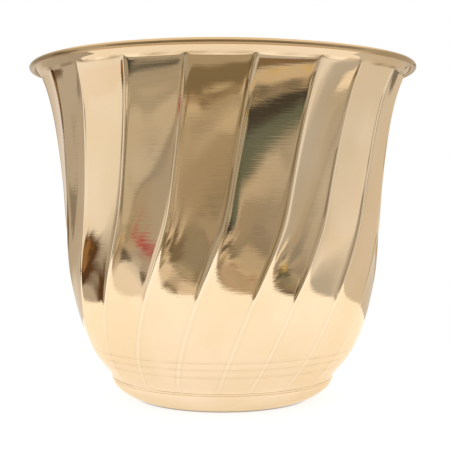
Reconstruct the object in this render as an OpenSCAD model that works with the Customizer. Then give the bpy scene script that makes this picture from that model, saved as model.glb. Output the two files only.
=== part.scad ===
// Planter pot in spun brass: a tapered vessel with swirled flutes, a wired rim and a low foot.
// Millimetres. The origin is the middle of the foot on the floor, +Z up, and -Y is the front.

/* [Overall] */
// Diameter over the rolled rim
rim_d = 254; // [200:1:320]
// Height from the floor to the top of the rolled rim
overall_h = 217; // [170:1:270]

/* [Body] */
// Diameter over the ridges at the waist, where the belly turns into the flare
waist_d = 207; // [170:1:250]
// Height of the waist above the floor
waist_h = 116; // [85:1:145]
// Steepness of the wall at the waist, in degrees from the floor
waist_angle = 86.4; // [80:0.2:92]
// Diameter of the body where it sits on the foot
neck_d = 147; // [110:1:180]
// Height of the body's underside above the floor
neck_h = 13; // [8:0.5:25]
// Steepness of the wall just above the neck, in degrees from the floor
neck_angle = 73; // [50:1:90]
// Thickness of the body's sheet
sheet_t = 0.9; // [0.6:0.05:1.4]
// Outer radius of the bend into the turned-in lower edge
edge_bend = 1.6; // [1.5:0.1:3]
// Width of the turned-in lower edge
edge_w = 9; // [7:0.5:14]

/* [Flutes] */
// Number of swirled flutes
flute_count = 20; // [12:1:28]
// Depth of a flute's panel below its ridges
flute_depth = 1.7; // [1:0.1:4]
// Roundness of the ridges, as a share of the flute's shape
ridge_round = 0.1; // [0.05:0.01:0.3]
// Share of the flute depth that is left just above the neck
neck_share = 0.6; // [0.1:0.05:1]
// Height above the neck at which the flutes reach their full depth
full_depth_rise = 50; // [20:1:90]
// Lean of the ridges above the turn, in degrees round the axis per millimetre of height
upper_lean = 0.078; // [0:0.002:0.2]
// Lean of the ridges below the turn, in degrees round the axis per millimetre of height
lower_lean = 0.225; // [0:0.005:0.4]
// Height of the turn above the floor
turn_h = 115; // [80:1:150]
// Half the height over which the lean changes
turn_soft = 12; // [2:1:40]

/* [Rim] */
// Diameter of the steel wire inside the rolled rim
wire_d = 1.6; // [1:0.1:4]
// Room left round the wire
wire_gap = 0.15; // [0.12:0.01:0.4]
// How far the flared lip and the rolled rim reach out beyond the wall
lip_reach = 8.8; // [6:0.2:20]
// Height of the flared lip, from where it begins to the top of the rim
lip_h = 9; // [6:0.5:20]
// Steepness of the wall where the lip begins, in degrees from the floor
lip_start_angle = 66; // [50:1:85]
// Steepness of the lip where it meets the wire, in degrees from the floor
lip_end_angle = 40; // [20:1:60]
// How far the edge is curled round the wire, in degrees
curl_turn = 280; // [200:5:285]

/* [Foot] */
// Thickness of the foot's sheet
foot_t = 1.2; // [0.8:0.1:1.4]
// How far the foot's top stands in from the body above it
foot_inset = 0.7; // [0.2:0.1:4]
// Outer radius of the bend at the foot's top
foot_bend = 1.5; // [1.5:0.1:3]
// Outer diameter of the flat edge that meets the floor
floor_d = 114; // [80:1:140]
// Width of the flat edge that meets the floor
floor_w = 5; // [3:0.5:10]
// Steepness of the foot where it meets the floor, in degrees
floor_angle = 20; // [5:1:60]
// Width of the body's turned-in edge left bare inside the foot's solder
foot_room = 0.5; // [0.2:0.1:2]

/* [Base] */
// Thickness of the base disc
base_t = 1.2; // [0.8:0.1:2]
// Room left between the base disc's solder and the bend in the body
base_room = 0.9; // [0.4:0.1:1.5]
// Width of the solder fillets
solder_w = 1; // [0.5:0.1:1.2]

/* [Hidden] */
BRASS = "#d9b46a";
STEEL = "#8d8f92";
TIN = "#b9b7b0";

// Facets
steps_per_flute = 6;
bend_steps = 2;
belly_steps = 6;
flare_steps = 6;
lip_steps = 3;
curl_steps = 8;
foot_steps = 8;
foot_bend_steps = 4;
wire_fn = 32;
round_fn = 180;

// Radii and heights that the pieces share
neck_r = neck_d / 2;
edge_in_r = neck_r - edge_w;
base_r = neck_r - edge_bend - base_room - solder_w;
base_z = neck_h + sheet_t;
foot_r = neck_r - foot_inset;
foot_top_in_r = edge_in_r + foot_room + solder_w;
floor_r = floor_d / 2;
wire_room_r = wire_d / 2 + wire_gap;
bead_r = wire_room_r + sheet_t;
wire_c = [rim_d / 2 - bead_r, overall_h - bead_r];
lip_r = rim_d / 2 - lip_reach;
lip_z = overall_h - lip_h;

// How far the smooth curves hold their end directions, as shares of the rise they cover
neck_hold = 0.1;
belly_hold = 0.88;
flare_hold = 0.57;
flare_end_hold = 0.18;
lip_hold = 0.35;
foot_hold = 0.35;
foot_end_hold = 0.5;

// Height over which the flutes fade out at the neck, in radii of the bend there
neck_fade = 4;

// Height of a solder fillet, as a share of the thickness of the sheet it climbs
fillet_climb = 0.9;

function dir(angle) = [cos(angle), sin(angle)];

function ramp(x, low, high) =
    let (t = max(0, min(1, (x - low) / (high - low)))) t * t * (3 - 2 * t);

function arc(centre, radius, from, to, steps) =
    [for (i = [0:steps]) centre + radius * dir(from + (to - from) * i / steps)];

// A cubic curve from one point to another, leaving and arriving along two directions.
function curve(from, out_angle, out_hold, to, in_angle, in_hold, steps) =
    let (a = from + out_hold * dir(out_angle), b = to - in_hold * dir(in_angle))
    [for (i = [0:steps])
        let (t = i / steps, s = 1 - t)
        s^3 * from + 3 * s^2 * t * a + 3 * s * t^2 * b + t^3 * to];

// All but the first point of a path, for joining it to the path that ends there.
function rest(path) = [for (i = [1:len(path) - 1]) path[i]];

// The direction to the left of a path at its point i.
function left_of(path, i) =
    let (step = path[min(i + 1, len(path) - 1)] - path[max(i - 1, 0)])
    [-step.y, step.x] / norm(step);

// The closed outline of a sheet: its face along the path, and its other face to the left.
function sheet(path, t) =
    concat(path, [for (i = [len(path) - 1:-1:0]) path[i] + t * left_of(path, i)]);

// Outer face of the body's section, as [radius, height], from the turned-in lower edge up to the
// free end of the curl. The curl's turn is measured back from where the lip meets the wire.
curl_start = 90 + lip_end_angle;
belly_rise = waist_h - neck_h - edge_bend;
flare_rise = lip_z - waist_h;
body_path = concat(
    [[edge_in_r, neck_h]],
    arc([neck_r - edge_bend, neck_h + edge_bend], edge_bend, -90, neck_angle - 90, bend_steps),
    rest(curve([neck_r, neck_h + edge_bend], neck_angle, neck_hold * belly_rise,
               [waist_d / 2, waist_h], waist_angle, belly_hold * belly_rise, belly_steps)),
    rest(curve([waist_d / 2, waist_h], waist_angle, flare_hold * flare_rise,
               [lip_r, lip_z], lip_start_angle, flare_end_hold * flare_rise, flare_steps)),
    rest(curve([lip_r, lip_z], lip_start_angle, lip_hold * lip_h,
               wire_c + wire_room_r * dir(curl_start), lip_end_angle, lip_hold * lip_h, lip_steps)),
    rest(arc(wire_c, wire_room_r, curl_start, curl_start - curl_turn, curl_steps)));

// How deep the flutes are at a height, from 0 at the neck and the wire to 1 on the wall.
function flute_share(z) =
    ramp(z, neck_h, neck_h + neck_fade * edge_bend)
    * (neck_share + (1 - neck_share) * ramp(z, neck_h, neck_h + full_depth_rise))
    * (1 - ramp(z, lip_z, wire_c.y - wire_room_r));

// How far the ridges have swung round the axis at a height, in degrees down from the rim.
function swing(z) =
    let (below = turn_h - z)
    upper_lean * max(0, lip_z - z)
    + (lower_lean - upper_lean) * (below + sqrt(below^2 + turn_soft^2)) / 2 * ramp(lip_z - z, 0, turn_soft);

// Depth across one flute: 0 on the ridges, 1 in the middle of the panel.
function panel(u) =
    (sqrt(sin(180 * u)^2 + ridge_round^2) - ridge_round) / (sqrt(1 + ridge_round^2) - ridge_round);

module fluted_body() {
    section = sheet(body_path, sheet_t);
    rows = len(section);
    around = flute_count * steps_per_flute;
    points = [
        for (i = [0:rows - 1])
            let (z = body_path[min(i, rows - 1 - i)].y)
            for (j = [0:around - 1])
                let (angle = 360 * (j + steps_per_flute / 2) / around - swing(z),
                     r = section[i].x - flute_depth * flute_share(z) * panel(j / steps_per_flute))
                [r * cos(angle), r * sin(angle), section[i].y]];
    faces = [
        for (i = [0:rows - 1])
            for (j = [0:around - 1])
                let (i2 = (i + 1) % rows,
                     j2 = (j + 1) % around,
                     a = i * around + j,
                     b = i2 * around + j,
                     c = i2 * around + j2,
                     d = i * around + j2)
                for (face = [[a, b, c], [a, c, d]]) face];
    color(BRASS) polyhedron(points, faces, convexity = 8);
}

module rim_wire() {
    color(STEEL)
        rotate_extrude($fn = round_fn) translate(wire_c) circle(d = wire_d, $fn = wire_fn);
}

module base_disc() {
    color(BRASS) translate([0, 0, base_z]) cylinder(r = base_r, h = base_t, $fn = round_fn);
}

// A ring of solder with a three-cornered section, from its inner corner along two faces.
module fillet(corner, across, up) {
    color(TIN)
        rotate_extrude($fn = round_fn)
            polygon([corner, corner + [across, 0], corner + [0, up]]);
}

module base_solder() {
    fillet([base_r, base_z], solder_w, base_t * fillet_climb);
}

module foot_ring() {
    top = foot_r - foot_bend;
    foot_rise = neck_h - foot_bend;
    floor_point = [floor_r, 0];
    outer = concat(
        [[foot_top_in_r, neck_h]],
        arc([top, neck_h - foot_bend], foot_bend, 90, 0, foot_bend_steps),
        rest(curve([foot_r, foot_rise], -90, foot_hold * foot_rise,
                   floor_point, floor_angle - 180, foot_end_hold * (foot_r - floor_r), foot_steps)),
        [[floor_r - floor_w, 0]]);
    color(BRASS) rotate_extrude($fn = round_fn) polygon(sheet(outer, -foot_t));
}

module foot_solder() {
    fillet([foot_top_in_r, neck_h], -solder_w, -foot_t * fillet_climb);
}

fluted_body();
rim_wire();
base_disc();
base_solder();
foot_ring();
foot_solder();
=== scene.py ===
"""Looks of a spun brass planter pot: swirled flutes, a wired rim, a low foot, a soldered-in base.

Shapes are worked out in millimetres in the pot's own frame (+Z up, foot centre at the origin, -Y the
front) and put into meshes in metres. Sizes that the frame knows are read from it.
"""

import bpy
import numpy as np
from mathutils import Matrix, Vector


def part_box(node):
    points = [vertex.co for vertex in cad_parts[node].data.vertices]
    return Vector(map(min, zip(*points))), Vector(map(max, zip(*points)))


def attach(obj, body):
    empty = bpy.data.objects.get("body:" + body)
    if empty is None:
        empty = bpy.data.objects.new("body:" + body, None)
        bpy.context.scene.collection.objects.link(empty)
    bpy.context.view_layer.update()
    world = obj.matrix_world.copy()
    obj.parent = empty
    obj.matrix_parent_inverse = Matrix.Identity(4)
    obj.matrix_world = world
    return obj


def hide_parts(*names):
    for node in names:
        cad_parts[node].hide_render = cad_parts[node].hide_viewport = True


MM = 0.001

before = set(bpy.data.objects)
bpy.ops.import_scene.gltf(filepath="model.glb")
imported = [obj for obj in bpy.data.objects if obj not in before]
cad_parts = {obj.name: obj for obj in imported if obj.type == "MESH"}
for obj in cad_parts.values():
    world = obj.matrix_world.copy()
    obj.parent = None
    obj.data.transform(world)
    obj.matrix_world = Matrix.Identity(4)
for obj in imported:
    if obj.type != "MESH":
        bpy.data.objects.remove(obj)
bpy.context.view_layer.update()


def node_size(node):
    """Outer radius, lowest and highest point of a round CAD node, in millimetres."""
    low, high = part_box(node)
    return high.x / MM, low.z / MM, high.z / MM


# Sizes read from the frame, in millimetres
RIM_R, NECK_H, TOP_H = node_size("fluted_body")
BASE_R, BASE_LOW, BASE_HIGH = node_size("base_disc")
BASE_SOLDER_R = node_size("base_solder")[0]
FOOT_R = node_size("foot_ring")[0]
FOOT_SOLDER_R, FOOT_SOLDER_LOW, _ = node_size("foot_solder")

# Driving sizes of the body, in millimetres and degrees
SHEET = 0.9
NECK_R = 73.5
EDGE_BEND = 1.2
EDGE_BEAD_ANGLES = (-50.0, 30.0)
EDGE_W = 9.0
NECK_ANGLE = 73.0
WAIST_R = 103.5
WAIST_H = 116.0
WAIST_ANGLE = 86.4
LIP_REACH = 8.8
LIP_H = 9.0
LIP_START_ANGLE = 66.0
LIP_END_ANGLE = 40.0
WIRE_ROOM_R = 0.95
CURL_TURN = 292.0
NECK_HOLD = 0.1
BELLY_HOLD = 0.88
FLARE_HOLD = 0.57
FLARE_END_HOLD = 0.18
LIP_HOLD = 0.35

# Driving sizes of the flutes
FLUTES = 20
PITCH = 360.0 / FLUTES
HOLLOW = 0.3
RIDGE_SOFT = 0.03
RIB_H = 0.36
RIB_HALF_W = 1.35
SHOULDER_H = 0.36
SHOULDER_HALF_W = (4.2, 1.6)
SHOULDER_RISE = (64.0, 88.0)
SHOULDER_FADE = (112.0, 142.0)
LOW_RIB_SHARE = 0.4
NECK_SHARE = 0.22
DEEPENING = (52.0, 118.0)
UPPER_LEAN = 0.078
LOWER_LEAN = 0.225
TURN_H = 115.0
TURN_SOFT = 12.0
FADE_AT_LIP = (209.6, 211.2)
RIB_END = (207.4, 209.9)
FADE_AT_NECK = 8.0
RING_HEIGHTS = (24.8, 25.9, 29.2, 30.2, 34.4, 35.6)
RING_SHARES = (0.9, 0.4, 0.35, 0.9, 1.0, 0.3)
RING_DEPTH = 0.07
RING_HALF_W = 0.24

# Driving sizes of the foot
FOOT_SHEET = 1.2
FOOT_BEND = 0.4
FOOT_FLOOR_R = 57.0
FOOT_FLAT_W = 5.0
FOOT_FLOOR_ANGLE = 20.0
FOOT_HOLD = 0.35
FOOT_END_HOLD = 0.5

LIP_R = RIM_R - LIP_REACH
LIP_Z = TOP_H - LIP_H
BEAD_R = WIRE_ROOM_R + SHEET
WIRE_C = np.array([RIM_R - BEAD_R, TOP_H - BEAD_R])


# ---------------------------------------------------------------- curves

def heading(degrees):
    """Unit vector at an angle from the radial direction, as [radial, up]."""
    angle = np.radians(degrees)
    return np.array([np.cos(angle), np.sin(angle)])


def arc(centre, radius, start, end, count=60):
    """Points centre + radius * heading(angle), with the angle running evenly from start to end."""
    angle = np.radians(np.linspace(start, end, count))
    return np.asarray(centre) + radius * np.column_stack([np.cos(angle), np.sin(angle)])


def curve(start, out_angle, out_hold, end, in_angle, in_hold, count=400):
    """Cubic Bezier curve: leaves start along out_angle and reaches end along in_angle."""
    start, end = np.asarray(start, float), np.asarray(end, float)
    first = start + out_hold * heading(out_angle)
    last = end - in_hold * heading(in_angle)
    t = np.linspace(0, 1, count)[:, None]
    s = 1 - t
    return s**3 * start + 3 * s**2 * t * first + 3 * s * t**2 * last + t**3 * end


def ramp(x, low, high):
    """Smooth step from 0 at low to 1 at high: t * t * (3 - 2 t)."""
    t = np.clip((x - low) / (high - low), 0, 1)
    return t * t * (3 - 2 * t)


def join(*paths):
    """One path from several that meet end to end, without the doubled points."""
    return np.vstack([paths[0]] + [path[1:] for path in paths[1:]])


def lengths(path):
    """Distance along a path to each of its points."""
    return np.concatenate([[0], np.cumsum(np.hypot(*np.diff(path, axis=0).T))])


def at(path, distance):
    """Points of a path at the given distances along it."""
    along = lengths(path)
    return np.column_stack([np.interp(distance, along, path[:, k]) for k in range(2)])


def left_of(path):
    """Unit vectors to the left of a path, square to its central-difference direction."""
    step = np.gradient(path, axis=0)
    step /= np.hypot(*step.T)[:, None]
    return np.column_stack([-step[:, 1], step[:, 0]])


def stations(path, longest, sharpest, extra=None):
    """Distances along a path: steps no longer than longest and turning no more than sharpest degrees.

    The density of steps is 1 / longest plus turn / sharpest, plus extra(path) where that is given, and
    the stations divide its integral evenly.
    """
    along = lengths(path)
    side = left_of(path)
    turn = np.abs(np.gradient(np.unwrap(np.arctan2(side[:, 1], side[:, 0])), along))
    density = 1 / longest + np.degrees(turn) / sharpest
    if extra is not None:
        density = density + extra(path)
    total = np.concatenate([[0], np.cumsum(np.diff(along) * (density[1:] + density[:-1]) / 2)])
    return np.interp(np.linspace(0, total[-1], int(np.ceil(total[-1])) + 1), total, along)


# ---------------------------------------------------------------- meshes

def grid_mesh(name, points, materials, face_material=None, close_rows=True, shades=None):
    """Mesh of quads on a grid of points [row, column, xyz] in millimetres, closed round the columns.

    With close_rows the last row joins the first. Otherwise the first and last rows are poles: each is
    one point, with a fan of triangles. Shades are named values, 0 to 1, kept at each point.
    """
    rows, columns = points.shape[:2]
    row, column = np.meshgrid(np.arange(rows if close_rows else rows - 1), np.arange(columns),
                              indexing="ij")
    next_row, next_column = (row + 1) % rows, (column + 1) % columns
    corners = [row * columns + column, row * columns + next_column,
               next_row * columns + next_column, next_row * columns + column]
    quads = np.stack(corners, axis=-1).reshape(-1, 4)
    vertices = points.reshape(-1, 3)
    if close_rows:
        faces = quads.tolist()
    else:
        vertices, faces = with_poles(points, quads, columns)
    mesh = bpy.data.meshes.new(name)
    mesh.from_pydata((vertices * MM).tolist(), [], faces)
    mesh.polygons.foreach_set("use_smooth", np.ones(len(faces), bool))
    for material in materials:
        mesh.materials.append(material)
    if face_material is not None:
        mesh.polygons.foreach_set("material_index", np.repeat(face_material, columns).astype(np.int32))
    for shade, values in (shades or {}).items():
        attribute = mesh.attributes.new(shade, "FLOAT", "POINT")
        attribute.data.foreach_set("value", values.astype(np.float32).ravel())
    mesh.update()
    piece = bpy.data.objects.new(name, mesh)
    bpy.context.collection.objects.link(piece)
    return piece


def with_poles(points, quads, columns):
    """Vertices and faces of a grid whose first and last rows shrink to one point each."""
    rows = points.shape[0]
    inner = quads[columns:-columns] - columns + 1
    column = np.arange(columns)
    next_column = (column + 1) % columns
    last = (rows - 2) * columns + 1
    base = last - columns
    first_fan = np.stack([np.zeros(columns, int), 1 + next_column, 1 + column], axis=-1)
    last_fan = np.stack([np.full(columns, last), base + column, base + next_column], axis=-1)
    vertices = np.vstack([points[0, :1], points[1:-1].reshape(-1, 3), points[-1, :1]])
    return vertices, first_fan.tolist() + inner.tolist() + last_fan.tolist()


def revolve(outline, columns):
    """Grid of an outline [radius, height], which runs anticlockwise, turned once round the axis."""
    turn = np.radians(np.arange(columns) * 360 / columns)
    radius = outline[:, :1]
    return np.stack([radius * np.cos(turn), radius * np.sin(turn),
                     np.repeat(outline[:, 1:], columns, axis=1)], axis=-1)


def half_round(start, end, count=5):
    """Points of the half circle from start to end that bulges to the left of the way from end to start."""
    middle, reach = (start + end) / 2, (start - end) / 2
    angle = np.linspace(0, np.pi, count + 2)[1:-1, None]
    forward = np.array([-reach[1], reach[0]])
    return middle + np.cos(angle) * reach + np.sin(angle) * forward


def sheet_outline(path, thickness, face_s, back_s):
    """Closed outline of a sheet with its face on a path and its back to the left, free edges rounded.

    face_s and back_s are the distances along the path at which each face has its points. Also returns
    the distance that each point of the outline belongs to.
    """
    along = lengths(path)
    back = path + thickness * left_of(path)
    face = at(path, face_s)
    back = np.column_stack([np.interp(back_s[::-1], along, back[:, k]) for k in range(2)])
    end, start = half_round(face[-1], back[0]), half_round(back[-1], face[0])
    outline = np.vstack([face, end, back, start])
    distance = np.concatenate([face_s, np.full(len(end), face_s[-1]),
                               back_s[::-1], np.full(len(start), face_s[0])])
    return outline, distance


def clear_of_bend(distance, start, radius, thickness):
    """Distances without those round a quarter bend that is too tight for the back of the sheet."""
    end = start + radius * np.pi / 2
    return distance[(distance < start - thickness) | (distance > end + thickness)]


# ---------------------------------------------------------------- the fluted body

def body_path():
    """Outer face of the body's section from its turned-in lower edge to the curl's free end.

    A flat edge, a bend that ends in a low bead, two cubic curves that meet at the waist, a cubic lip
    and an arc round the wire.
    """
    under, over = EDGE_BEAD_ANGLES
    bend_c = [NECK_R - EDGE_BEND, NECK_H - EDGE_BEND * np.sin(np.radians(under))]
    belly_rise = WAIST_H - NECK_H - EDGE_BEND
    flare_rise = LIP_Z - WAIST_H
    curl_start = 90 + LIP_END_ANGLE
    waist = [WAIST_R, WAIST_H]
    lip = [LIP_R, LIP_Z]
    bend = arc(bend_c, EDGE_BEND, under, over)
    return join(
        np.linspace([NECK_R - EDGE_W, NECK_H], bend[0], 20), bend,
        curve(bend[-1], NECK_ANGLE, NECK_HOLD * belly_rise, waist, WAIST_ANGLE, BELLY_HOLD * belly_rise),
        curve(waist, WAIST_ANGLE, FLARE_HOLD * flare_rise, lip, LIP_START_ANGLE,
              FLARE_END_HOLD * flare_rise),
        curve(lip, LIP_START_ANGLE, LIP_HOLD * LIP_H, WIRE_C + WIRE_ROOM_R * heading(curl_start),
              LIP_END_ANGLE, LIP_HOLD * LIP_H),
        arc(WIRE_C, WIRE_ROOM_R, curl_start, curl_start - CURL_TURN, 120))


def swing(z):
    """Turn of the ridges round the axis below the lip: one lean above the turn and a steeper one below."""
    below = TURN_H - z
    return (UPPER_LEAN * np.maximum(0, LIP_Z - z)
            + (LOWER_LEAN - UPPER_LEAN) * (below + np.hypot(below, TURN_SOFT)) / 2
            * ramp(LIP_Z - z, 0, TURN_SOFT))


def rib_share(z):
    """How much of the ribs there is at a height: none at the neck's bend and in the lip."""
    return ramp(z, NECK_H, NECK_H + FADE_AT_NECK) * (1 - ramp(z, *RIB_END))


def flute_share(z):
    """How much of the flutes' depth there is at a height: none in the lip, less down the lower body."""
    below_lip = 1 - ramp(z, *FADE_AT_LIP)
    above_neck = ramp(z, NECK_H, NECK_H + FADE_AT_NECK)
    return below_lip * above_neck * (NECK_SHARE + (1 - NECK_SHARE) * ramp(z, *DEEPENING))


def flute_drop(u, radius):
    """How far the wall lies inside the ridges' circle at u, from 0 on a ridge to 1 on the next.

    The flat chord between two ridges, radius * (1 - cos(half pitch) / cos(angle from mid panel)), plus
    a shallow hollow. The distance d from the ridge is softened to sqrt(d * d + soft * soft) - soft.
    """
    near = np.hypot(np.minimum(u, 1 - u), RIDGE_SOFT) - RIDGE_SOFT
    from_middle = np.radians(PITCH * (0.5 - near))
    chord = radius * (1 - np.cos(np.radians(PITCH / 2)) / np.cos(from_middle))
    return chord + HOLLOW * (1 - (2 * near - 1) ** 2)


def low_rib(z):
    """Share of a rib's height at a height: less below the shoulders."""
    return LOW_RIB_SHARE + (1 - LOW_RIB_SHARE) * ramp(z, *SHOULDER_RISE)


def rib_rise(u, aside, z):
    """Height of the rounded rib along a ridge: a bell curve, on a lopsided broader one at the belly."""
    half_w = np.where(u < 0.5, *SHOULDER_HALF_W)
    belly = ramp(z, *SHOULDER_RISE) * (1 - ramp(z, *SHOULDER_FADE))
    return (RIB_H * low_rib(z) * np.exp(-(aside / RIB_HALF_W) ** 2)
            + SHOULDER_H * belly * np.exp(-(aside / half_w) ** 2))


def waves(count, seed, turns, per_mm):
    """A sum of sines over turn (radians) and height (mm) with seeded counts, pitches and phases.

    Returns a function of the two whose values are about -1 to 1.
    """
    rng = np.random.default_rng(seed)
    round_count = rng.integers(turns[0], turns[1] + 1, count)
    pitch = rng.uniform(-per_mm, per_mm, count)
    phase = rng.uniform(0, 2 * np.pi, count)
    size = 1.5 / np.sqrt(count)

    def height_of(turn, z):
        total = np.zeros(np.broadcast(turn, z).shape)
        for n, k, p in zip(round_count, pitch, phase):
            total += np.sin(n * turn + k * z + p)
        return total * size / np.sqrt(2)

    return height_of


PANEL_WAVES = waves(14, 5, (9, 26), 0.09)
SHAPE_WAVES = waves(4, 8, (2, 4), 0.01)
RIM_WAVES = waves(5, 11, (2, 6), 0.0)
PANEL_WAVE_MM = 0.1
SHAPE_WAVE_MM = 0.25
RIM_WAVE_MM = 0.3
RIDGE_JITTER_DEG = 0.35
FRONT_RIDGE_ERRORS = {12: -1.2, 13: -1.0, 14: -0.7, 15: -0.2, 16: 0.9, 17: -2.2, 18: -1.8, 19: -0.8}

# The grid: columns from a ridge to mid panel and how they crowd to the ridge; longest step and sharpest
# turn between rows, in millimetres and degrees; rows beside the rings and round the curl
HALF_COLUMNS = 10
COLUMN_CROWDING = 4.0
OUTER_STEP = (2.6, 10.0)
INNER_STEP = (6.5, 14.0)
RING_STEPS = 2.2
RING_REACH = 2.2
HIDDEN_CURL_ROWS = 8
SHOWN_CURL_ROWS = 28


def ring_density(path):
    """Extra rows beside the engraved rings, so that they have a shape."""
    near = [np.exp(-((path[:, 1] - height) / (RING_REACH * RING_HALF_W)) ** 2) for height in RING_HEIGHTS]
    wall = path[:, 0] > NECK_R
    return RING_STEPS * np.sum(near, axis=0) * wall


def engraving(z):
    """Depth of the engraved rings at a height: one bell curve each."""
    return RING_DEPTH * sum(share * np.exp(-((z - height) / RING_HALF_W) ** 2)
                            for height, share in zip(RING_HEIGHTS, RING_SHARES))


# Painted shade and browning, from 0 for none to 1: painted shade lines where the panels meet the lip and
# under the bead (height, half width, share), how even they are, painted shade on the lip band, browning
# round the curl and in the rings, then painted shade lines along the ribs, with their distance from the
# ridge in millimetres
SHADE_AND_BROWNING_WAVES = waves(7, 17, (3, 40), 0.0)
PAINTED_SHADE_LINES = ((FADE_AT_LIP[0] + 0.3, 0.4, 1.0), (LIP_Z + 6.4, 0.5, 0.9))
PAINTED_SHADE_EVEN, PAINTED_SHADE_UNEVEN = 0.55, 0.6
PAINTED_LIP_SHADE = 0.26
CURL_BROWNING = 0.9
RING_BROWNING, RING_BROWNING_UNEVEN = 0.3, 0.09
CREASE_WAVES = waves(6, 29, (3, 20), 0.12)
CREASE_AT = 1.5
CREASE_HALF_W = 0.5
CREASE_SHOW = (-0.1, 0.3)
UPPER_CREASE = 0.95
LOWER_CREASE = 0.13


def painted_shade_and_browning(turn, z):
    """Painted shade where the panels meet the lip and under the bead: a thin bell curve over height each,
    that comes and goes round the pot.
    """
    some = np.clip(PAINTED_SHADE_EVEN + PAINTED_SHADE_UNEVEN * SHADE_AND_BROWNING_WAVES(turn, 0.0), 0, 1)
    return sum(most * some * np.exp(-((z - height) / half_w) ** 2) for height, half_w, most in PAINTED_SHADE_LINES)


def painted_crease_shade(u, aside, turn, z):
    """Painted shade at the foot of the ribs, one bell curve over the distance from the rib's foot.

    High up it lies in dark lengths on one side, and low down it is a faint line on both.
    """
    patchy = ramp(CREASE_WAVES(turn, z), *CREASE_SHOW) * (u > 0.5)
    high = ramp(z, *SHOULDER_RISE)
    share = UPPER_CREASE * high * patchy + LOWER_CREASE * (1 - high)
    return share * rib_share(z) * np.exp(-((aside - CREASE_AT) / CREASE_HALF_W) ** 2)


def fluted_sheet(outline, station_z, engraved):
    """Grid of the body's closed outline swept round with its flutes, and its shades: a painted highlight
    along the ridges, and painted shade and browning.

    Column angle = pitch * (flute + u) + half a pitch - swing(z) + the ridge's own small error. Each
    point's radius is its outline's less flute_drop * flute_share and the rings' depth, plus rib_rise *
    rib_share, and both faces of the sheet share the same waves, so its thickness stays even.
    """
    near = np.sinh(COLUMN_CROWDING * np.linspace(0, 1, HALF_COLUMNS + 1)) / np.sinh(COLUMN_CROWDING) / 2
    u = np.concatenate([near, 1 - near[-2:0:-1]])
    jitter = np.random.default_rng(3).uniform(-RIDGE_JITTER_DEG, RIDGE_JITTER_DEG, FLUTES)
    for ridge, degrees in FRONT_RIDGE_ERRORS.items():
        jitter[ridge] = degrees
    flute = np.arange(FLUTES)[:, None]
    error = jitter[:, None] * (1 - u) + np.roll(jitter, -1)[:, None] * u
    across = (PITCH * (flute + u + 0.5) + error).reshape(1, -1)
    u = np.tile(u, FLUTES)[None, :]
    z = station_z[:, None]
    share = flute_share(z)
    turn = np.radians(across - swing(z))
    aside = np.minimum(u, 1 - u) * np.radians(PITCH) * outline[:, :1]
    rib = rib_share(z) * rib_rise(u, aside, z)
    # Painted highlight along the ridges: the rib's bell curve, kept as the ridge shade
    ridge_highlight = low_rib(z) * rib_share(z) * np.exp(-(aside / RIB_HALF_W) ** 2)
    radius = outline[:, :1] - share * flute_drop(u, outline[:, :1]) + rib
    groove = engraved[:, None] * engraving(z) * np.ones_like(u)
    radius = radius - groove
    on_wall = ramp(z, NECK_H, NECK_H + 2 * FADE_AT_NECK)
    at_rim = ramp(z, LIP_Z - LIP_H, TOP_H)
    dent = PANEL_WAVE_MM * PANEL_WAVES(turn, z) * share
    bow = SHAPE_WAVE_MM * SHAPE_WAVES(turn, z) * on_wall
    radius = radius + dent + bow - SHAPE_WAVE_MM * at_rim
    height = outline[:, 1:] + RIM_WAVE_MM * (np.minimum(RIM_WAVES(turn, z), 1) - 1) * at_rim
    points = np.stack([radius * np.cos(turn), radius * np.sin(turn), height], axis=-1)
    shown = engraved[:, None] > 0
    # Browner in the engraved rings, more in some places round the pot than others
    rings = groove / RING_DEPTH * (RING_BROWNING + RING_BROWNING_UNEVEN * SHADE_AND_BROWNING_WAVES(turn, z))
    # Painted shade: the lip band a little browner
    lip = PAINTED_LIP_SHADE * ramp(z, *FADE_AT_LIP)
    # Painted shade lines under the lip and the bead and beside the ribs on the outer face, and browning
    # round the curl
    shade_and_brown_share = (rings + (np.maximum(painted_shade_and_browning(turn, z), lip) + painted_crease_shade(u, aside, turn, z)) * shown
            + CURL_BROWNING * (z >= TOP_H) * (1 - shown))
    return points, {"ridge": np.clip(ridge_highlight, 0, 1), "painted_shade_and_browning": np.clip(shade_and_brown_share, 0, 1)}


def make_body(outside, inside):
    """The fluted body: one closed sheet, with its outer and inner faces in their own finishes."""
    path = body_path()
    along = lengths(path)
    curl_from = along[-1] - np.radians(CURL_TURN) * WIRE_ROOM_R
    wall = along < curl_from
    fine = stations(path[wall], *OUTER_STEP, ring_density)
    coarse = stations(path[wall], *INNER_STEP)
    coarse = clear_of_bend(coarse, EDGE_W - EDGE_BEND, EDGE_BEND, SHEET)
    hidden_curl = np.linspace(curl_from, along[-1], HIDDEN_CURL_ROWS)
    shown_curl = np.linspace(curl_from, along[-1], SHOWN_CURL_ROWS)
    outline, distance = sheet_outline(path, SHEET, np.concatenate([fine[:-1], hidden_curl]),
                                      np.concatenate([coarse[:-1], shown_curl]))
    in_curl = distance >= curl_from
    station_z = np.where(in_curl, TOP_H, np.interp(distance, along, path[:, 1]))
    outer_count = len(fine) - 1
    is_outer = np.arange(len(outline)) < outer_count
    first_back = outer_count + len(hidden_curl)
    face_material = (~is_outer & ~in_curl & (np.arange(len(outline)) > first_back)).astype(int)
    points, shades = fluted_sheet(outline, station_z, is_outer.astype(float))
    return grid_mesh("fluted_body_sheet", points, [outside, inside], face_material, shades=shades)


# ---------------------------------------------------------------- the foot, the base and the solder

ROUND_COLUMNS = 256
FOOT_WAVES = waves(4, 21, (2, 5), 0.05)
FOOT_WAVE_MM = 0.12
FOOT_STEP = (1.2, 5.0)
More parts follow.
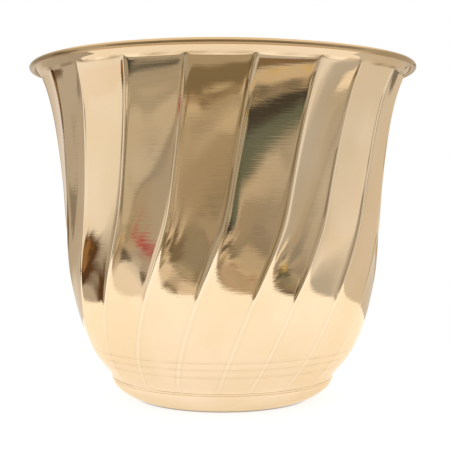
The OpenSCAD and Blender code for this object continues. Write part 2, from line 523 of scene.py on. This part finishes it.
# Painted shade on the foot: a painted contact shadow at the floor and a line in the crease at its top bend
PAINTED_CONTACT_SHADE, PAINTED_CONTACT_SHADE_H = 0.55, 0.8
PAINTED_BEND_SHADE, PAINTED_BEND_SHADE_H = 0.25, 0.4
BASE_EDGE = 0.3
BASE_DISH = 0.35
BASE_DISH_R = (36.0, 44.0)
SOLDER_WAVES = waves(9, 33, (6, 60), 0.0)
SOLDER_UNEVEN = 0.16
SOLDER_SINK = 0.05


def make_foot(finish):
    """Foot ring: a flat edge on the floor, a cubic band flaring up, a bend and a flat top edge."""
    rise = NECK_H - FOOT_BEND
    top = FOOT_R - FOOT_BEND
    floor_edge = [FOOT_FLOOR_R, 0]
    band = curve([FOOT_R, rise], -90, FOOT_HOLD * rise, floor_edge, FOOT_FLOOR_ANGLE - 180,
                 FOOT_END_HOLD * (FOOT_R - FOOT_FLOOR_R))[::-1]
    path = join(np.linspace([FOOT_FLOOR_R - FOOT_FLAT_W, 0], floor_edge, 20), band,
                arc([top, rise], FOOT_BEND, 0, 90, 30),
                np.linspace([top, NECK_H], [FOOT_SOLDER_R, NECK_H], 20))
    distance = stations(path, *FOOT_STEP)
    bend_from = FOOT_FLAT_W + lengths(band)[-1]
    back = clear_of_bend(distance, bend_from, FOOT_BEND, FOOT_SHEET)
    outline, _ = sheet_outline(path, FOOT_SHEET, distance, back)
    points = revolve(outline, ROUND_COLUMNS)
    turn, z = np.arctan2(points[..., 1], points[..., 0]), points[..., 2]
    lift = ramp(z, 1, NECK_H / 2) * (1 - ramp(z, NECK_H - 2, NECK_H))
    points[..., :2] *= 1 + (FOOT_WAVE_MM / FOOT_R * FOOT_WAVES(turn, z) * lift)[..., None]
    # Painted contact shadow at the floor, and painted shade in the crease at the top bend
    shade_and_brown_share = (PAINTED_CONTACT_SHADE * np.exp(-z / PAINTED_CONTACT_SHADE_H)
            + PAINTED_BEND_SHADE * np.exp(-((z - NECK_H) / PAINTED_BEND_SHADE_H) ** 2))
    return grid_mesh("foot_band", points, [finish], shades={"painted_shade_and_browning": np.clip(shade_and_brown_share, 0, 1)})


def make_base(finish):
    """Base disc: flat underneath, rounded at its edge, and dished a little in the middle of its top."""
    rim = BASE_R - BASE_EDGE
    low = arc([rim, BASE_LOW + BASE_EDGE], BASE_EDGE, -90, 0, 5)
    high = arc([rim, BASE_HIGH - BASE_EDGE], BASE_EDGE, 0, 90, 5)
    across = np.linspace(rim, 0, 90)
    top = np.column_stack([across, BASE_HIGH - BASE_DISH * (1 - ramp(across, *BASE_DISH_R))])
    bottom = np.column_stack([across[::-1], np.full(len(across), BASE_LOW)])
    outline = np.vstack([bottom, low[1:], high, top[1:]])
    return grid_mesh("base_plate", revolve(outline, ROUND_COLUMNS), [finish], close_rows=False)


def solder_ring(name, corner, across, up, finish):
    """Ring of solder in a corner: a hollow quarter-round section that swells and shrinks along the ring.

    Face points are corner + across * (1 - sin t) along and up * (1 - cos t) up, for t from 0 to a
    quarter turn, times 1 + SOLDER_UNEVEN * waves. across and up may point inwards and down.
    """
    t = np.linspace(0, np.pi / 2, 9)
    sign = np.sign([across, up])
    face = np.column_stack([across * (1 - np.sin(t)), up * (1 - np.cos(t))])
    section = np.vstack([-SOLDER_SINK * sign, face])
    if across * up < 0:
        section = section[::-1]
    turn = np.radians(np.arange(ROUND_COLUMNS) * 360 / ROUND_COLUMNS)
    swell = 1 + SOLDER_UNEVEN * SOLDER_WAVES(turn, 0.0)
    radius = corner[0] + section[:, :1] * swell
    height = corner[1] + section[:, 1:] * swell
    points = np.stack([radius * np.cos(turn), radius * np.sin(turn), height], axis=-1)
    return grid_mesh(name, points, [finish])


# ---------------------------------------------------------------- materials

# Sizes of the patterns, in millimetres
CLOUD_MM = 45.0
POLISH_LINE_MM, POLISH_LINE_LONG_MM = 0.7, 60.0
POLISH_LINE_DEEP_MM = 0.014
TARNISH_MM = 30.0
TOOL_MARK_MM, TOOL_MARK_LONG_MM = 0.9, 90.0
TOOL_MARK_DEEP_MM = 0.03
FACING_RING_MM, FACING_RING_DEEP_MM = 1.2, 0.06
STAIN_MM = 22.0
LUMP_MM, LUMP_DEEP_MM = 2.0, 0.15
RUST_MM = 6.0

# The range that most of a noise's values lie in
NOISE_SPAN = (0.3, 0.7)

# Tints of the polished brass for its painted shade and browning, and for the painted highlight on the
# ridges
SHADE_AND_BROWNING_TINT = "#ae926c"
RIDGE_HIGHLIGHT_TINT = "#fbe6c8"


def linear(colour):
    """An sRGB hex colour as linear red, green, blue and alpha."""
    parts = np.array([int(colour[k:k + 2], 16) for k in (1, 3, 5)]) / 255
    return [*np.where(parts <= 0.04045, parts / 12.92, ((parts + 0.055) / 1.055) ** 2.4), 1.0]


def add(tree, kind, sockets=None, **settings):
    """Adds a node with its settings. A socket, by name or number, gets a value or another's output."""
    made = tree.nodes.new(kind)
    for name, value in settings.items():
        setattr(made, name, value)
    for key, value in (sockets or {}).items():
        if isinstance(value, bpy.types.NodeSocket):
            tree.links.new(value, made.inputs[key])
        else:
            made.inputs[key].default_value = value
    return made


def carry(value, low, high, to_low=0.0, to_high=1.0):
    """Sockets for carrying a value from one range to another, and holding it at the ends."""
    return {"Value": value, "From Min": low, "From Max": high, "To Min": to_low, "To Max": to_high}


def new_finish(name):
    """An empty node material with its output, and its Object coordinates in metres."""
    material = bpy.data.materials.new(name)
    material.use_nodes = True
    tree = material.node_tree
    tree.nodes.clear()
    output = add(tree, "ShaderNodeOutputMaterial")
    return material, tree, output, add(tree, "ShaderNodeTexCoord").outputs["Object"]


def per_mm(size):
    """Noise scale, in cycles per metre, that gives features of a size in millimetres."""
    return 1 / (size * MM)


def lathe_lines(tree, place, spacing, along):
    """Fine lines round the axis: noise that changes quickly upwards and slowly sideways."""
    stretched = add(tree, "ShaderNodeMapping", {"Vector": place, "Scale": (
        per_mm(along), per_mm(along), per_mm(spacing))}, vector_type="POINT")
    return add(tree, "ShaderNodeTexNoise", {"Vector": stretched.outputs[0], "Scale": 1.0, "Detail": 3.0,
                                            "Roughness": 0.65}).outputs["Fac"]


def distance_from_axis(tree, place):
    """Distance of a place from the pot's axis: the length of its two level parts."""
    level = add(tree, "ShaderNodeVectorMath", {0: place, 1: (1, 1, 0)}, operation="MULTIPLY")
    return add(tree, "ShaderNodeVectorMath", {0: level.outputs[0]}, operation="LENGTH").outputs["Value"]


def polished_brass(name, fresh, warm, edge):
    """Yellow brass, mirror polished on a wheel while it turned on the lathe.

    The eye sees a clear mirror with a pale yellow tint, crossed by fine level lines from the polishing
    mop, a little cloudier in patches, with a painted highlight along the ridges, and painted shade and
    browning from the shades kept at each point. The real lines are under 0.1 mm apart, and are drawn 0.7 mm
    apart so that they show.
    """
    material, tree, output, place = new_finish(name)
    cloud = add(tree, "ShaderNodeTexNoise", {"Vector": place, "Scale": per_mm(CLOUD_MM),
                                             "Detail": 3.0}).outputs["Fac"]
    lines = lathe_lines(tree, place, POLISH_LINE_MM, POLISH_LINE_LONG_MM)
    ridge = add(tree, "ShaderNodeAttribute", attribute_name="ridge").outputs["Fac"]
    shade_and_brown_share = add(tree, "ShaderNodeAttribute", attribute_name="painted_shade_and_browning").outputs["Fac"]
    warmth = add(tree, "ShaderNodeMapRange", carry(cloud, 0.35, 0.65)).outputs["Result"]
    tint = add(tree, "ShaderNodeMix", {"Factor": warmth, "A": linear(fresh), "B": linear(warm)},
               data_type="RGBA").outputs["Result"]
    # Painted highlight: lighter along the ridges
    highlighted = add(tree, "ShaderNodeMix", {"Factor": ridge, "A": tint, "B": linear(RIDGE_HIGHLIGHT_TINT)},
                 data_type="RGBA").outputs["Result"]
    # Painted shade and browning, towards a brown tint
    colour = add(tree, "ShaderNodeMix", {"Factor": shade_and_brown_share, "A": highlighted, "B": linear(SHADE_AND_BROWNING_TINT)},
                 data_type="RGBA").outputs["Result"]
    haze = add(tree, "ShaderNodeMapRange", carry(cloud, *NOISE_SPAN, 0.012, 0.045)).outputs["Result"]
    scuffs = add(tree, "ShaderNodeMapRange", carry(lines, 0.55, 0.75, 0.0, 0.06)).outputs["Result"]
    rough = add(tree, "ShaderNodeMath", {0: haze, 1: scuffs}, operation="ADD").outputs[0]
    bump = add(tree, "ShaderNodeBump", {"Height": lines, "Strength": 1.0,
                                        "Distance": POLISH_LINE_DEEP_MM * MM})
    shader = add(tree, "ShaderNodeBsdfPrincipled", {
        "Base Color": colour, "Metallic": 1.0, "Roughness": rough, "Specular Tint": linear(edge),
        "Normal": bump.outputs["Normal"]})
    tree.links.new(shader.outputs[0], output.inputs["Surface"])
    return material


def spun_brass(name, fresh, dull):
    """Yellow brass as it leaves the spinning lathe, not polished after: the inside of the pot.

    The eye sees a satin metal with level tool marks and browner patches of old tarnish.
    """
    material, tree, output, place = new_finish(name)
    patches = add(tree, "ShaderNodeTexNoise", {"Vector": place, "Scale": per_mm(TARNISH_MM),
                                               "Detail": 5.0, "Roughness": 0.6}).outputs["Fac"]
    lines = lathe_lines(tree, place, TOOL_MARK_MM, TOOL_MARK_LONG_MM)
    tarnish = add(tree, "ShaderNodeMapRange", carry(patches, 0.4, 0.72)).outputs["Result"]
    tint = add(tree, "ShaderNodeMix", {"Factor": tarnish, "A": linear(fresh), "B": linear(dull)},
               data_type="RGBA").outputs["Result"]
    satin = add(tree, "ShaderNodeMapRange", carry(patches, *NOISE_SPAN, 0.2, 0.34)).outputs["Result"]
    marks = add(tree, "ShaderNodeMapRange", carry(lines, 0.4, 0.7, 0.0, 0.08)).outputs["Result"]
    rough = add(tree, "ShaderNodeMath", {0: satin, 1: marks}, operation="ADD").outputs[0]
    bump = add(tree, "ShaderNodeBump", {"Height": lines, "Strength": 1.0,
                                        "Distance": TOOL_MARK_DEEP_MM * MM})
    shader = add(tree, "ShaderNodeBsdfPrincipled", {
        "Base Color": tint, "Metallic": 1.0, "Roughness": rough, "Normal": bump.outputs["Normal"]})
    tree.links.new(shader.outputs[0], output.inputs["Surface"])
    return material


def turned_brass(name, fresh, dull):
    """Yellow brass faced on the lathe: the base disc.

    The eye sees fine rings round its middle, and brown stains.
    """
    material, tree, output, place = new_finish(name)
    radius = distance_from_axis(tree, place)
    rings = add(tree, "ShaderNodeTexNoise", {"W": radius, "Scale": per_mm(FACING_RING_MM), "Detail": 2.0},
                noise_dimensions="1D").outputs["Fac"]
    stains = add(tree, "ShaderNodeTexNoise", {"Vector": place, "Scale": per_mm(STAIN_MM),
                                              "Detail": 6.0}).outputs["Fac"]
    stained = add(tree, "ShaderNodeMapRange", carry(stains, 0.45, 0.7)).outputs["Result"]
    tint = add(tree, "ShaderNodeMix", {"Factor": stained, "A": linear(fresh), "B": linear(dull)},
               data_type="RGBA").outputs["Result"]
    rough = add(tree, "ShaderNodeMapRange", carry(stains, *NOISE_SPAN, 0.24, 0.42)).outputs["Result"]
    bump = add(tree, "ShaderNodeBump", {"Height": rings, "Strength": 1.0,
                                        "Distance": FACING_RING_DEEP_MM * MM})
    shader = add(tree, "ShaderNodeBsdfPrincipled", {
        "Base Color": tint, "Metallic": 1.0, "Roughness": rough, "Normal": bump.outputs["Normal"]})
    tree.links.new(shader.outputs[0], output.inputs["Surface"])
    return material


def tin_solder(name):
    """Tin solder, run in with a torch: dull grey, with a skin of small lumps 2 mm across."""
    material, tree, output, place = new_finish(name)
    lumps = add(tree, "ShaderNodeTexNoise", {"Vector": place, "Scale": per_mm(LUMP_MM),
                                             "Detail": 4.0}).outputs["Fac"]
    tint = add(tree, "ShaderNodeMix", {"Factor": lumps, "A": linear("#8f8d86"), "B": linear("#cfcdc6")},
               data_type="RGBA").outputs["Result"]
    rough = add(tree, "ShaderNodeMapRange", carry(lumps, *NOISE_SPAN, 0.35, 0.55)).outputs["Result"]
    bump = add(tree, "ShaderNodeBump", {"Height": lumps, "Strength": 1.0, "Distance": LUMP_DEEP_MM * MM})
    shader = add(tree, "ShaderNodeBsdfPrincipled", {
        "Base Color": tint, "Metallic": 1.0, "Roughness": rough, "Normal": bump.outputs["Normal"]})
    tree.links.new(shader.outputs[0], output.inputs["Surface"])
    return material


def drawn_steel(name):
    """Mild steel wire, drawn through a die: grey, satin, with a faint brown bloom of rust."""
    material, tree, output, place = new_finish(name)
    bloom = add(tree, "ShaderNodeTexNoise", {"Vector": place, "Scale": per_mm(RUST_MM),
                                             "Detail": 5.0}).outputs["Fac"]
    rust = add(tree, "ShaderNodeMapRange", carry(bloom, 0.5, 0.75)).outputs["Result"]
    tint = add(tree, "ShaderNodeMix", {"Factor": rust, "A": linear("#8e9093"), "B": linear("#6f5b4c")},
               data_type="RGBA").outputs["Result"]
    rough = add(tree, "ShaderNodeMapRange", carry(bloom, *NOISE_SPAN, 0.28, 0.5)).outputs["Result"]
    shader = add(tree, "ShaderNodeBsdfPrincipled", {
        "Base Color": tint, "Metallic": 1.0, "Roughness": rough})
    tree.links.new(shader.outputs[0], output.inputs["Surface"])
    return material


# ---------------------------------------------------------------- the stage and its light

CAMERA_DISTANCE = 5 * RIM_R
CAMERA_HEIGHT = 129.5
FOCAL_WIDTHS = 2.11
AXIS_SHIFT = 0.0056
HORIZON_SHIFT = -0.0567
SENSOR_MM = 36.0


def make_camera():
    """Level camera in front of the pot, a little over half-way up it."""
    data = bpy.data.cameras.new("camera")
    data.sensor_width = SENSOR_MM
    data.lens = SENSOR_MM * FOCAL_WIDTHS
    data.shift_x, data.shift_y = AXIS_SHIFT, HORIZON_SHIFT
    camera = bpy.data.objects.new("camera", data)
    camera.location = (0, -CAMERA_DISTANCE * MM, CAMERA_HEIGHT * MM)
    camera.rotation_euler = (np.pi / 2, 0, 0)
    bpy.context.collection.objects.link(camera)
    bpy.context.scene.camera = camera


# The room round the pot, which the brass mirrors: azimuth from the front in degrees (right is
# positive) and the tone of the wall there.
ROOM_TONES = [
    (-180, "#e3e2e2"), (-157, "#e1dfdd"), (-146, "#c0bcb7"), (-118, "#bbb7b1"), (-109, "#bdbab5"),
    (-104, "#f4f4f2"), (-82, "#fbfaf6"), (-72, "#eeebe6"), (-66, "#b8b2a8"), (-45, "#aca79b"),
    (-24, "#a89c88"), (0, "#b1a691"), (20, "#aaa193"), (40, "#b0aca4"), (60, "#cdc9c1"),
    (78, "#c0beba"), (84, "#c2c1bf"), (92, "#f2f0ee"), (108, "#e1dfdb"), (132, "#dcd6cd"),
    (152, "#d6d3ce"), (180, "#dad8d6")]
CEILING_TONE = "#e4e1da"
CEILING_RISE = (5.0, 40.0)
OVERHEAD_LIGHT = 2.1
OVERHEAD_RISE = (25.0, 45.0)

# Noise that bends the directions: its scale, detail and strength, and the value that bends nothing
ROOM_BENDS = ((5.0, 3.0, 0.12, 0.5), (13.0, 2.0, 0.09, 0.0))

# Clutter low on the walls, in large and small cells: the cells' scale, how much of them shows, the
# elevations between which they come in and go out, the azimuths between which they end, all in degrees,
# and the places of their tones, from 0 to 1
CLUTTER = (
    (7.0, 0.5, (-23.0, -18.0), (-7.0, -1.0), (62.0, 78.0), list(zip(np.linspace(0.25, 0.75, 7), (
        "#4d4539", "#978668", "#80806f", "#bfae92", "#a89a80", "#e3d7c0", "#978668")))),
    (19.0, 0.65, (-21.0, -18.5), (-12.0, -9.0), (60.0, 66.0), [
        (0.3, "#5b4d3a"), (0.42, "#8f866c"), (0.5, "#b7a58a"), (0.56, "#a07a68"), (0.62, "#c9bb9a"),
        (0.7, "#efe2c9")]))

# Things standing in the room: azimuth and elevation of the middle, half width and half height, all
# in degrees, the tone and how much of it shows. Their edges are soft between two shares of the size.
ROOM_THINGS = [
    (-48, -13, 8, 8, "#b9b3a6", 0.8), (-50, -8, 5, 4, "#cfc9bc", 0.8),
    (-83, -15, 9.5, 6.5, "#f6f1ea", 1.0),
    (-107, -12.5, 14, 7.5, "#5d452f", 1.0), (-104.5, -12.5, 8.5, 5.0, "#a07b50", 0.9),
    (-114, -16, 6, 1.6, "#35291e", 1.0), (-131, -2.5, 6, 1.8, "#938f88", 1.0),
    (-44, -30, 3.5, 6, "#50504c", 1.0), (-61.5, -5.6, 1.8, 1.2, "#b95f60", 0.9),
    (-65, -4.5, 2.2, 1.0, "#b95f60", 1.0), (-67.5, -4.6, 1.8, 1.0, "#a9585a", 0.9),
    (-69, -12, 4.2, 2.6, "#665f52", 0.9),
    (0, -23, 16, 4.2, "#857961", 1.0), (-6, -10.5, 6, 2.6, "#c9c1b0", 0.4),
    (-23, -11.5, 5, 2.6, "#80745f", 1.0), (-31, -18, 6, 5.0, "#e8dccb", 0.9),
    (38.5, -9.6, 6, 2.9, "#6c7468", 1.0), (41, -12.6, 5, 2.1, "#4b4843", 1.0),
    (45, -22, 3.5, 3.5, "#d3c4a8", 0.9), (72, -16.5, 2.8, 4.2, "#fbf3e4", 1.0),
    (50, -29, 5, 3.2, "#7d6646", 0.9), (49, -22, 3.5, 2.4, "#d8bd80", 0.8),
    (12, -16, 6, 4, "#c9b9a4", 0.8),
    (53, -14, 4.5, 3.4, "#5f6152", 0.7), (56, -12, 2.4, 1.6, "#d9c27a", 0.9),
    (151, 0, 1.8, 4, "#776f66", 0.9)]
THING_EDGE = (0.88, 1.14)


def set_tones(colours, tones):
    """Gives a colour ramp its tones: pairs of a place, from 0 to 1 and in order, and a hex colour."""
    stops = colours.color_ramp.elements
    for stop, (place, tone) in zip(stops, (tones[0], tones[-1])):
        stop.position, stop.color = place, linear(tone)
    for place, tone in tones[1:-1]:
        stops.new(place).color = linear(tone)


def bent_direction(tree):
    """The direction that a ray leaves in, bent a little by each of the room's noises."""
    way = add(tree, "ShaderNodeTexCoord").outputs["Generated"]
    bent = way
    for scale, detail, strength, middle in ROOM_BENDS:
        noise = add(tree, "ShaderNodeTexNoise", {"Vector": way, "Scale": scale, "Detail": detail})
        stray = add(tree, "ShaderNodeVectorMath", {0: noise.outputs["Color"], 1: (middle,) * 3},
                    operation="SUBTRACT")
        bent = add(tree, "ShaderNodeVectorMath", {0: stray.outputs[0], 1: (strength,) * 3, 2: bent},
                   operation="MULTIPLY_ADD").outputs[0]
    return bent


def make_world():
    """A pale studio for the camera, and for all other rays a room of soft tones round the pot.

    A direction gives its azimuth, atan2(x, -y), and its elevation, asin(z), after a little noise has
    bent it. Each thing in the room is a soft-edged ellipse in those two angles.
    """
    world = bpy.data.worlds.new("room")
    world.use_nodes = True
    tree = world.node_tree
    tree.nodes.clear()

    bent = bent_direction(tree)
    split = add(tree, "ShaderNodeSeparateXYZ", {0: bent})
    front = add(tree, "ShaderNodeMath", {0: split.outputs["Y"], 1: -1.0}, operation="MULTIPLY")
    turn = add(tree, "ShaderNodeMath", {0: split.outputs["X"], 1: front.outputs[0]}, operation="ARCTAN2")
    rise = add(tree, "ShaderNodeMath", {0: split.outputs["Z"]}, operation="ARCSINE")
    azimuth = add(tree, "ShaderNodeMath", {0: turn.outputs[0]}, operation="DEGREES").outputs[0]
    elevation = add(tree, "ShaderNodeMath", {0: rise.outputs[0]}, operation="DEGREES").outputs[0]
    angles = add(tree, "ShaderNodeCombineXYZ", {"X": azimuth, "Y": elevation}).outputs[0]

    round_room = add(tree, "ShaderNodeMapRange", carry(azimuth, -180.0, 180.0)).outputs["Result"]
    walls = add(tree, "ShaderNodeValToRGB", {0: round_room})
    set_tones(walls, [(turn / 360 + 0.5, tone) for turn, tone in ROOM_TONES])
    up = add(tree, "ShaderNodeMapRange", carry(elevation, *CEILING_RISE)).outputs["Result"]
    room = add(tree, "ShaderNodeMix", {"Factor": up, "A": walls.outputs["Color"],
                                       "B": linear(CEILING_TONE)}, data_type="RGBA").outputs["Result"]

    aside = add(tree, "ShaderNodeMath", {0: azimuth}, operation="ABSOLUTE").outputs[0]
    for scale, share, comes_in, goes_out, ends, tones in CLUTTER:
        cells = add(tree, "ShaderNodeTexVoronoi", {"Vector": bent, "Scale": scale})
        clutter = add(tree, "ShaderNodeValToRGB", {0: cells.outputs["Color"]})
        set_tones(clutter, tones)
        above = add(tree, "ShaderNodeMapRange", carry(elevation, *comes_in)).outputs["Result"]
        below = add(tree, "ShaderNodeMapRange", carry(elevation, *goes_out, 1.0, 0.0)).outputs["Result"]
        near = add(tree, "ShaderNodeMapRange", carry(aside, *ends, share, 0.0)).outputs["Result"]
        band = add(tree, "ShaderNodeMath", {0: above, 1: below}, operation="MULTIPLY").outputs[0]
        cover = add(tree, "ShaderNodeMath", {0: band, 1: near}, operation="MULTIPLY").outputs[0]
        room = add(tree, "ShaderNodeMix", {"Factor": cover, "A": room, "B": clutter.outputs["Color"]},
                   data_type="RGBA").outputs["Result"]

    for turn, rise, half_w, half_h, tone, share in ROOM_THINGS:
        off = add(tree, "ShaderNodeVectorMath", {0: angles, 1: (turn, rise, 0)}, operation="SUBTRACT")
        shares = add(tree, "ShaderNodeVectorMath", {0: off.outputs[0], 1: (half_w, half_h, 1)},
                     operation="DIVIDE")
        away = add(tree, "ShaderNodeVectorMath", {0: shares.outputs[0]}, operation="LENGTH")
        cover = add(tree, "ShaderNodeMapRange", carry(away.outputs["Value"], *THING_EDGE, share, 0.0))
        room = add(tree, "ShaderNodeMix", {"Factor": cover.outputs["Result"], "A": room,
                                           "B": linear(tone)}, data_type="RGBA").outputs["Result"]

    seen = add(tree, "ShaderNodeLightPath").outputs["Is Camera Ray"]
    shown = add(tree, "ShaderNodeMix", {"Factor": seen, "A": room, "B": linear("#ffffff")},
                data_type="RGBA").outputs["Result"]
    lamp = add(tree, "ShaderNodeMapRange", carry(elevation, *OVERHEAD_RISE, 1.0, OVERHEAD_LIGHT))
    back = add(tree, "ShaderNodeBackground", {"Color": shown, "Strength": lamp.outputs["Result"]})
    output = add(tree, "ShaderNodeOutputWorld")
    tree.links.new(back.outputs[0], output.inputs["Surface"])
    bpy.context.scene.world = world


# The light table: its size in millimetres, its glow in the open and under the middle of the pot, and the
# radii between which the two glows end. Between them is the ring of shade at the foot.
TABLE_R = 300.0
TABLE_THICK = 2.0
TABLE_GREY = "#8c8c8c"
TABLE_GLOW = 0.8
UNDER_GLOW = 0.4
UNDER_GLOW_END = (30.0, 52.0)
SHADE_END = (FOOT_FLOOR_R - 0.5, FOOT_FLOOR_R + 1.5)


def make_floor():
    """Plain pale floor: a white light table wider than the pot, glowing evenly but for the pot's shade.

    The shade is a dark ring at the foot, and its middle glows a little for the pot's underside. Only the
    table's top shows, so the underside of the pot can be seen from below.
    """
    material, tree, output, place = new_finish("white_light_table")
    radius = distance_from_axis(tree, place)
    middle = add(tree, "ShaderNodeMapRange", carry(
        radius, UNDER_GLOW_END[0] * MM, UNDER_GLOW_END[1] * MM, UNDER_GLOW, 0.0)).outputs["Result"]
    around = add(tree, "ShaderNodeMapRange", carry(
        radius, SHADE_END[0] * MM, SHADE_END[1] * MM, 0.0, TABLE_GLOW)).outputs["Result"]
    glow = add(tree, "ShaderNodeMath", {0: middle, 1: around}, operation="ADD").outputs[0]
    shader = add(tree, "ShaderNodeBsdfPrincipled", {
        "Base Color": linear(TABLE_GREY), "Roughness": 0.9,
        "Emission Color": linear("#ffffff"), "Emission Strength": glow})
    side = add(tree, "ShaderNodeNewGeometry")
    upward = add(tree, "ShaderNodeSeparateXYZ", {0: side.outputs["True Normal"]}).outputs["Z"]
    top = add(tree, "ShaderNodeMath", {0: upward, 1: 0.5}, operation="GREATER_THAN").outputs[0]
    shown = add(tree, "ShaderNodeMath", {0: top, 1: side.outputs["Backfacing"]}, operation="SUBTRACT",
                use_clamp=True).outputs[0]
    clear = add(tree, "ShaderNodeBsdfTransparent")
    mixed = add(tree, "ShaderNodeMixShader", {0: shown, 1: clear.outputs[0], 2: shader.outputs[0]})
    tree.links.new(mixed.outputs[0], output.inputs["Surface"])
    outline = np.array([[0, -TABLE_THICK], [TABLE_R, -TABLE_THICK], [TABLE_R, 0], [0, 0]], float)
    floor = grid_mesh("floor", revolve(outline, ROUND_COLUMNS), [material], close_rows=False)
    floor.data.shade_flat()


# ---------------------------------------------------------------- assembly

brass_out = polished_brass("mirror_polished_brass", fresh="#f5dcba", warm="#f0d5ae", edge="#fff6e8")
brass_foot = polished_brass("mirror_polished_foot_brass", fresh="#f6debd", warm="#f0d5af", edge="#fbf0dc")
brass_in = spun_brass("spun_brass_inside", fresh="#e8cd9e", dull="#bf9c66")
brass_base = turned_brass("turned_base_brass", fresh="#dcbb85", dull="#9c7a48")
solder = tin_solder("tin_solder")
wire_steel = drawn_steel("drawn_steel_wire")

new_pieces = [
    (make_body(brass_out, brass_in), "fluted_body", "body_brass"),
    (make_foot(brass_foot), "foot_ring", "foot_brass"),
    (make_base(brass_base), "base_disc", "base_brass"),
    (solder_ring("inner_solder", [BASE_R, BASE_LOW], BASE_SOLDER_R - BASE_R, BASE_HIGH - BASE_LOW,
                 solder), "base_solder", "solder"),
    (solder_ring("under_solder", [FOOT_SOLDER_R, NECK_H], BASE_R - BASE_SOLDER_R,
                 FOOT_SOLDER_LOW - NECK_H, solder), "foot_solder", "solder"),
]
for piece, node, slot in new_pieces:
    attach(piece, "root")
    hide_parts(node)
for material_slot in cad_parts["rim_wire"].material_slots:
    material_slot.material = wire_steel

make_camera()
make_world()
make_floor()
bpy.context.scene.view_settings.view_transform = "Standard"
